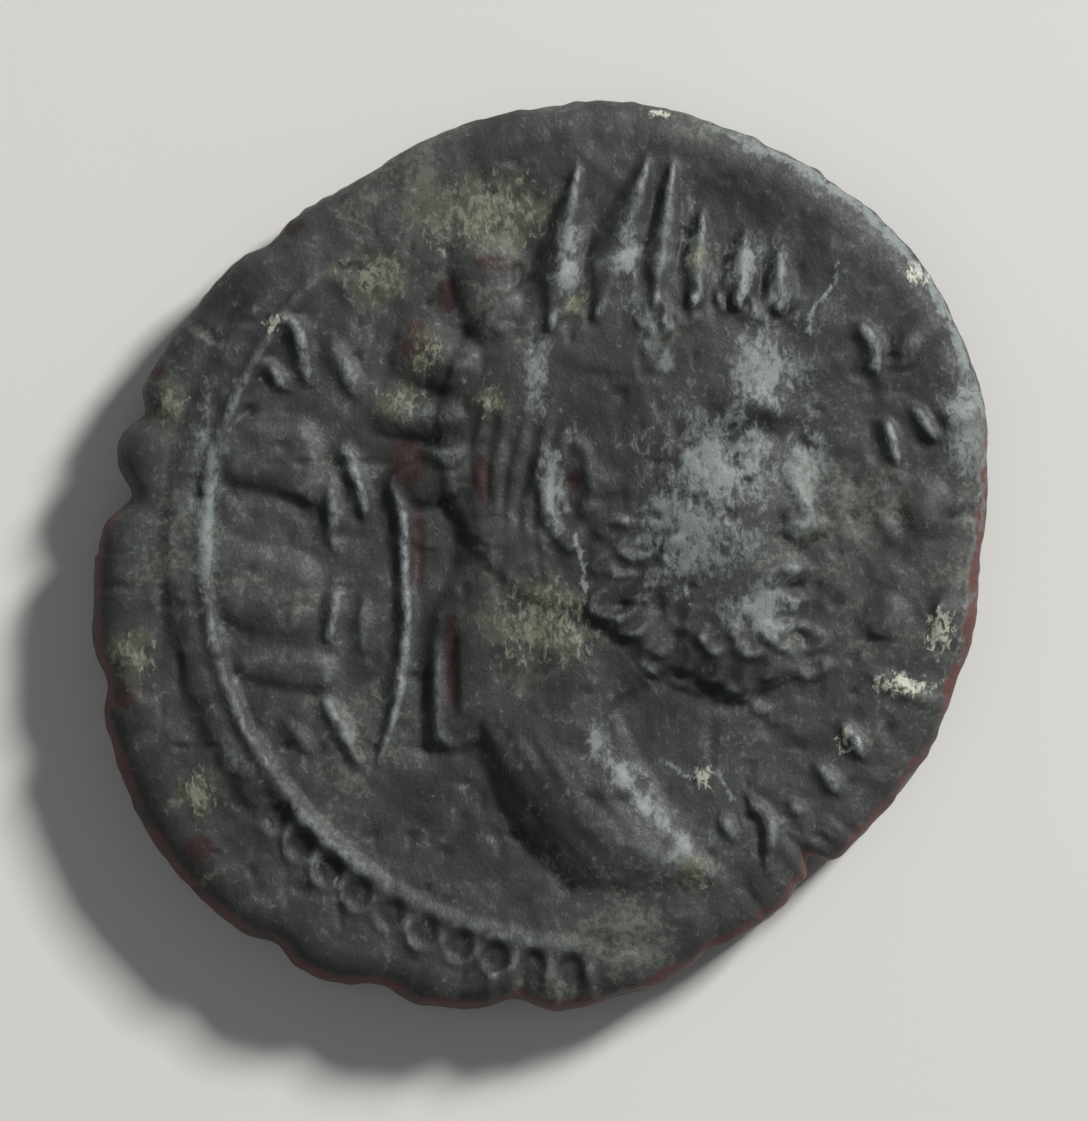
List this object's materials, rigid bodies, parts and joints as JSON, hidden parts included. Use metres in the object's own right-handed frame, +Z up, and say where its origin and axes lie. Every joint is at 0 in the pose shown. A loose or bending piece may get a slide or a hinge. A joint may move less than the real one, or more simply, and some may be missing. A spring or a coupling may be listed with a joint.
{
  "type": "roman bronze coin",
  "caption": "Thick struck bronze coin with an irregular edge, a crowned bearded bust in relief, and a worn standing figure behind.",
  "frame": {"origin": "middle of the coin's outline, on the surface that it lies on, reverse down", "axes": "+Z up out of the portrait side, +X the way the portrait looks, +Y towards the top of its head"},
  "size_m": [0.0252, 0.0256, 0.0038],
  "materials": {
    "patinated_bronze": "dark grey-green patina with earthy deposits, worn"
  },
  "bodies": {
    "root": {"coin": "patinated_bronze"}
  },
  "joints": []
}
